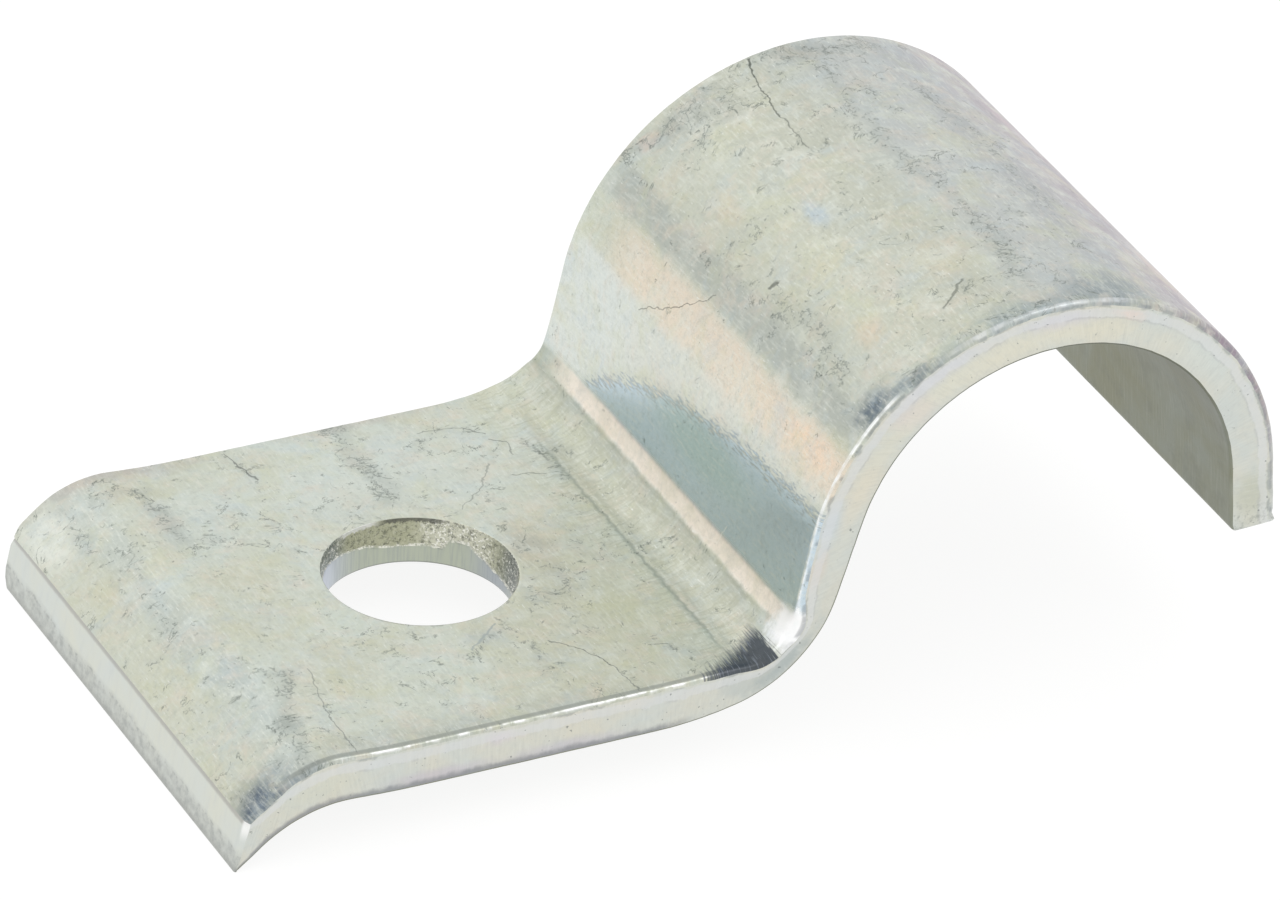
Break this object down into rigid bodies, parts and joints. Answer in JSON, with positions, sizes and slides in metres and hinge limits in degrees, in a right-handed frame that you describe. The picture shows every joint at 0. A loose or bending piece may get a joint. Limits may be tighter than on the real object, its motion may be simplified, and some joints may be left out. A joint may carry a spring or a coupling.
{
  "type": "conduit strap",
  "caption": "One-lug strap of bent sheet steel: a flat lug with a screw hole and turned-down heel, a riser and a half-round saddle that clamps a conduit to a wall.",
  "frame": {"origin": "centre of the fixing hole on the underside of the lug, the face drawn down to the wall", "axes": "+Z along the fixing screw, away from the wall; +X along the strip from the heel to the saddle; +Y across the strip, along the conduit"},
  "size_m": [0.041, 0.02, 0.016],
  "materials": {
    "zinc_plated_steel": "zinc electroplated and clear passivated, satin, with fine stains"
  },
  "bodies": {
    "root": {"strap": "zinc_plated_steel"}
  },
  "joints": []
}
